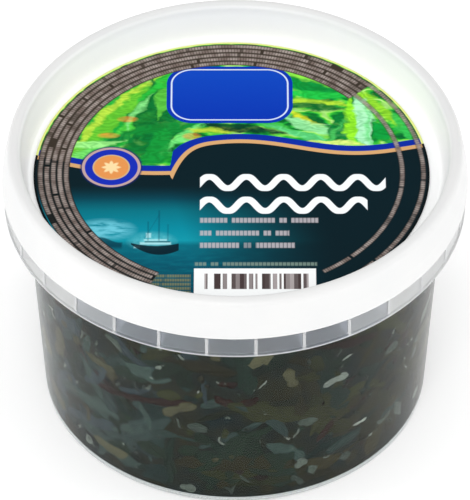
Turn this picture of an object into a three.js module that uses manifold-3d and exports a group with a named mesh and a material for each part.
// A round lidded plastic tub of shredded kelp salad.
// Millimetres, +Z up. The origin is the centre of the foot ring, on the surface it stands on.
// The pieces are turned about Z, and the front is towards -Y.

import * as THREE from 'three';
import { mergeVertices } from 'three/addons/utils/BufferGeometryUtils.js';
import Module from 'manifold-3d';

// ---- Driving dimensions ----

const TOTAL_HEIGHT = 62.5;
const LID_RADIUS = 47.5;
const FOOT_RADIUS = 39.65;
const WALL_TOP_RADIUS = 42.6;
const WALL = 0.6;
const CLEARANCE = 0.3;
const TURN_STEPS = 72;

// The tub's collar, from its lower bead to the ledge that the lid stands over.
const COLLAR_BOTTOM = 48.3;
const LEDGE_TOP = 53.2;
const COLLAR_RADIUS = 46.8;
const COLLAR_WALL = 0.7;
const BEAD_RADIUS = 47.1;
const BEAD_HEIGHT = 0.8;
const BEAD_SLOPE = 0.2;
const RIB_COUNT = 30;
const RIB_WIDTH = 0.6;
const RIB_PROUD = 0.15;
const FIRST_RIB_DEGREES = -84.9;

// The tub's rim, inside the lid's channel.
const RIM_TOP = 60.9;
const RIM_INNER_RADIUS = 44.3;
const RIM_OUTER_RADIUS = 44.9;
const RIM_BEAD_RADIUS = 45.15;
const RIM_BEAD_TOP = RIM_TOP - 0.3;
const RIM_BEAD_BOTTOM = RIM_TOP - 1.4;
const RIM_BEAD_SLOPE = 0.4;
const RIM_DRAFT = 0.2;
const LEDGE_EASE = 0.6;

// The foot.
const FOOT_RECESS = 0.8;
const FOOT_RING_INNER = 35.8;
const FOOT_RING_OUTER = 38.5;
const FLOOR = 1.4;
const MOAT_FLOOR = WALL;
const MOAT_INNER = FOOT_RING_INNER + WALL;
const HEEL = 1.4;
const HEEL_CHAMFER = 0.3;

// The lid.
const LID_BOTTOM = 53.5;
const LID_SHOULDER_Z = 57.3;
const LID_SHOULDER_RADIUS = 47.1;
const CREST_RADIUS = 44.7;
const CREST_ROUNDING = 1.5;
const PANEL_TOP = 55;
const PANEL_RADIUS = 41.9;
const RECESS_TOP_RADIUS = 43.4;
const LID_WALL = 0.7;
const PANEL_WALL = 0.9;
const SKIRT_WALL = 0.8;
const SNAP_HEIGHT = 58.3;
const EASE = 0.4;

// The label, stuck a little to the left of the lid's centre.
const LABEL_RADIUS = 40.3;
const LABEL_THICKNESS = 0.2;
const LABEL_GLUE = 0.05;
const LABEL_OFFSET = -0.7;

// The salad.
const SALAD_TOP = 52;
const SALAD_HEEL = 2;
const STRIP_THICKNESS = 0.8;
const STRIP_ROWS = 3;
const STRIPS_PER_ROW = 8;
const LOWEST_ROW = 10.5;
const ROW_STEP = 15;
const ROW_SWAY = 0.8;
const STRIP_STEPS = 9;
const STRIP_LENGTH = 22;
const STRIP_LENGTH_SPREAD = 4;
const STRIP_SLOPE = 0.36;
const KELP_WIDTH = 3.8;
const KELP_WIDTH_SPREAD = 0.9;
const CARROT_WIDTH = 2;
const CARROT_EVERY = 4;
const END_NARROWING = 0.65;

// ---- Materials ----

function plastic(name, color, roughness, opacity) {
  const transparent = opacity < 1;
  return new THREE.MeshStandardMaterial({ name, color, roughness, metalness: 0, opacity, transparent });
}

const FROSTED = plastic('frosted_plastic', 0xb4bec2, 0.45, 0.5);
const WHITE = plastic('white_plastic', 0xf6f7f8, 0.35, 1);
const PRINT = plastic('printed_label', 0x0b4a55, 0.3, 1);
const KELP = plastic('kelp', 0x3c4638, 0.35, 1);
const CARROT = plastic('carrot', 0x9a4a26, 0.4, 1);
const DRESSED = plastic('dressed_shreds', 0x34392c, 0.3, 1);

// ---- Solids ----

const wasm = await Module();
wasm.setup();

// A closed surface as a solid that can be joined and cut.
function toSolid(geometry) {
  geometry.deleteAttribute('normal');
  geometry.deleteAttribute('uv');
  const merged = mergeVertices(geometry, 1e-4);
  const vertProperties = new Float32Array(merged.attributes.position.array);
  const triVerts = new Uint32Array(merged.index.array);
  return new wasm.Manifold(new wasm.Mesh({ numProp: 3, vertProperties, triVerts }));
}

// A solid as a surface that a mesh can show.
function toGeometry(solid) {
  const { vertProperties, triVerts } = solid.getMesh();
  const geometry = new THREE.BufferGeometry();
  geometry.setAttribute('position', new THREE.BufferAttribute(vertProperties, 3));
  geometry.setIndex(new THREE.BufferAttribute(triVerts, 1));
  geometry.computeVertexNormals();
  return geometry;
}

// A profile of [radius, height] points turned about Z.
function turned(profile, steps = TURN_STEPS) {
  const points = profile.map(([radius, height]) => new THREE.Vector2(radius, height));
  return new THREE.LatheGeometry(points, steps).rotateX(Math.PI / 2);
}

function named(name, geometry, material) {
  const mesh = new THREE.Mesh(geometry, material);
  mesh.name = name;
  return mesh;
}

// ---- The tub ----

// The radius of the wall's outside at a height: a straight taper.
function wallOutside(height) {
  return FOOT_RADIUS + (WALL_TOP_RADIUS - FOOT_RADIUS) * (height / COLLAR_BOTTOM);
}

function wallInside(height) {
  return wallOutside(height) - WALL;
}

// The tub's outline: up the outside from the foot, round the collar and the rim, and
// down the inside to the floor. The base is a thin shell, so inside it dips over the
// foot ring.
function tubProfile() {
  const ledgeBottom = LEDGE_TOP - WALL;
  const collarInner = COLLAR_RADIUS - COLLAR_WALL;
  const beadTop = COLLAR_BOTTOM + BEAD_HEIGHT;
  return [
    [0, FOOT_RECESS],
    [FOOT_RING_INNER - FOOT_RECESS, FOOT_RECESS],
    [FOOT_RING_INNER, 0],
    [FOOT_RING_OUTER, 0],
    [FOOT_RADIUS - HEEL_CHAMFER, HEEL_CHAMFER],
    [wallOutside(HEEL), HEEL],
    [wallOutside(ledgeBottom), ledgeBottom],
    [collarInner, ledgeBottom],
    [collarInner, COLLAR_BOTTOM],
    [BEAD_RADIUS, COLLAR_BOTTOM],
    [BEAD_RADIUS, beadTop],
    [COLLAR_RADIUS, beadTop + BEAD_SLOPE],
    [COLLAR_RADIUS, LEDGE_TOP],
    [RIM_OUTER_RADIUS, LEDGE_TOP],
    [RIM_OUTER_RADIUS, RIM_BEAD_BOTTOM - RIM_BEAD_SLOPE],
    [RIM_BEAD_RADIUS, RIM_BEAD_BOTTOM],
    [RIM_BEAD_RADIUS, RIM_BEAD_TOP],
    [RIM_OUTER_RADIUS, RIM_TOP],
    [RIM_INNER_RADIUS, RIM_TOP],
    [RIM_INNER_RADIUS - RIM_DRAFT, LEDGE_TOP + LEDGE_EASE],
    [wallInside(ledgeBottom), ledgeBottom],
    [wallInside(HEEL), HEEL],
    [wallInside(MOAT_FLOOR) - HEEL_CHAMFER, MOAT_FLOOR],
    [MOAT_INNER, MOAT_FLOOR],
    [MOAT_INNER - FOOT_RECESS, FLOOR],
    [0, FLOOR],
  ];
}

// One upright rib: it crosses the gap from the wall to the collar, and stands a little
// proud of the collar.
function rib(degrees) {
  const ribBottom = COLLAR_BOTTOM + BEAD_HEIGHT / 2;
  const ribTop = LEDGE_TOP - WALL / 2;
  const inner = wallOutside(COLLAR_BOTTOM) - WALL / 2;
  const outer = COLLAR_RADIUS + RIB_PROUD;
  const box = new THREE.BoxGeometry(outer - inner, RIB_WIDTH, ribTop - ribBottom);
  box.translate((outer + inner) / 2, 0, (ribTop + ribBottom) / 2);
  return toSolid(box.rotateZ(THREE.MathUtils.degToRad(degrees)));
}

function makeTub() {
  let solid = toSolid(turned(tubProfile()));
  for (let i = 0; i < RIB_COUNT; i += 1) {
    solid = solid.add(rib(FIRST_RIB_DEGREES + (i * 360) / RIB_COUNT));
  }
  return named('tub', toGeometry(solid), FROSTED);
}

// ---- The lid ----

// The lid's outline: along the underside from the axis, round the channel to the skirt's
// lower edge, and back over the crest and the sunk panel.
function lidProfile() {
  const crestUnder = TOTAL_HEIGHT - LID_WALL;
  const channelInner = RECESS_TOP_RADIUS + LID_WALL;
  const channelOuter = CREST_RADIUS + PANEL_WALL;
  const snapRadius = RIM_OUTER_RADIUS + CLEARANCE;
  return [
    [0, PANEL_TOP - PANEL_WALL],
    [PANEL_RADIUS + EASE, PANEL_TOP - PANEL_WALL],
    [PANEL_RADIUS + EASE + LID_WALL, PANEL_TOP],
    [channelInner - EASE / 4, crestUnder - EASE],
    [channelInner + EASE / 2, crestUnder],
    [channelOuter - EASE, crestUnder],
    [channelOuter, crestUnder - EASE],
    [channelOuter, SNAP_HEIGHT + 2 * EASE],
    [snapRadius, SNAP_HEIGHT],
    [LID_SHOULDER_RADIUS - SKIRT_WALL, LID_SHOULDER_Z - EASE],
    [LID_RADIUS - SKIRT_WALL, LID_BOTTOM],
    [LID_RADIUS, LID_BOTTOM],
    [LID_SHOULDER_RADIUS, LID_SHOULDER_Z],
    [LID_SHOULDER_RADIUS - CREST_ROUNDING / 2, TOTAL_HEIGHT - 1.2 * CREST_ROUNDING],
    [CREST_RADIUS + CREST_ROUNDING / 2, TOTAL_HEIGHT - CREST_ROUNDING / 5],
    [CREST_RADIUS, TOTAL_HEIGHT],
    [CREST_RADIUS - CREST_ROUNDING / 2, TOTAL_HEIGHT - CREST_ROUNDING / 5],
    [RECESS_TOP_RADIUS, TOTAL_HEIGHT - 0.7 * CREST_ROUNDING],
    [PANEL_RADIUS + EASE, PANEL_TOP + 2 * EASE],
    [PANEL_RADIUS - EASE, PANEL_TOP],
    [0, PANEL_TOP],
  ];
}

function makeLid() {
  return named('lid', turned(lidProfile()), WHITE);
}

function makeLabel() {
  const bottom = PANEL_TOP + LABEL_GLUE;
  const top = bottom + LABEL_THICKNESS;
  const sheet = turned([[0, bottom], [LABEL_RADIUS, bottom], [LABEL_RADIUS, top], [0, top]]);
  return named('label', sheet.translate(LABEL_OFFSET, 0, 0), PRINT);
}

// ---- The salad ----

// The packed shreds: they fill the tub to just under the lid, and leave room at the wall
// for the strips that lie flat against it.
function makeSalad() {
  const inset = 2 * CLEARANCE + STRIP_THICKNESS;
  const bottom = FLOOR + CLEARANCE;
  const profile = [
    [0, bottom],
    [wallInside(bottom) - inset - SALAD_HEEL, bottom],
    [wallInside(bottom + SALAD_HEEL) - inset, bottom + SALAD_HEEL],
    [wallInside(SALAD_TOP) - inset, SALAD_TOP - SALAD_HEEL],
    [wallInside(SALAD_TOP) - inset - SALAD_HEEL, SALAD_TOP],
    [0, SALAD_TOP],
  ];
  return named('kelp_salad', turned(profile, TURN_STEPS / 2), DRESSED);
}

// A strip that lies flat against the wall: a thin bar that narrows to its ends, turned by
// its slope and bent round the wall.
function strip(degrees, height, length, width, slope) {
  const bar = new THREE.BoxGeometry(length, width, STRIP_THICKNESS, STRIP_STEPS, 1, 1);
  const place = bar.attributes.position;
  const middle = wallInside(height);
  for (let i = 0; i < place.count; i += 1) {
    const along = place.getX(i);
    const narrowing = 1 - END_NARROWING * Math.abs((2 * along) / length) ** 3;
    const across = place.getY(i) * narrowing;
    const round = along * Math.cos(slope) - across * Math.sin(slope);
    const up = along * Math.sin(slope) + across * Math.cos(slope);
    const angle = THREE.MathUtils.degToRad(degrees) + round / middle;
    const radius = wallInside(height + up) - CLEARANCE - STRIP_THICKNESS / 2 + place.getZ(i);
    place.setXYZ(i, radius * Math.cos(angle), radius * Math.sin(angle), height + up);
  }
  return bar;
}

// Rows of strips round the wall. Each has its own length, width and slope, and each row
// is turned by part of a step. Sines with uneven steps make the strips differ. Every
// fourth one is carrot, thinner than the kelp.
function makeStrips() {
  const meshes = [];
  let kelpCount = 0;
  let carrotCount = 0;
  for (let i = 0; i < STRIP_ROWS * STRIPS_PER_ROW; i += 1) {
    const row = Math.floor(i / STRIPS_PER_ROW);
    const degrees = -90 + ((i % STRIPS_PER_ROW) + row / STRIP_ROWS) * (360 / STRIPS_PER_ROW);
    const height = LOWEST_ROW + row * ROW_STEP + ROW_SWAY * Math.sin(2.1 * i);
    const length = STRIP_LENGTH + STRIP_LENGTH_SPREAD * Math.sin(1.7 * i + 1);
    const slope = STRIP_SLOPE * Math.sin(2.9 * i + row);
    const isCarrot = i % CARROT_EVERY === (row + 2) % CARROT_EVERY;
    const width = isCarrot ? CARROT_WIDTH : KELP_WIDTH + KELP_WIDTH_SPREAD * Math.cos(2.3 * i);
    const geometry = strip(degrees, height, length, width, slope);
    if (isCarrot) {
      carrotCount += 1;
      meshes.push(named(`carrot_shred_${String(carrotCount).padStart(2, '0')}`, geometry, CARROT));
    } else {
      kelpCount += 1;
      meshes.push(named(`kelp_strip_${String(kelpCount).padStart(2, '0')}`, geometry, KELP));
    }
  }
  return meshes;
}

// ---- The whole ----

const tubOfSalad = new THREE.Group();
tubOfSalad.add(makeTub(), makeLid(), makeLabel(), makeSalad(), ...makeStrips());

export default tubOfSalad;
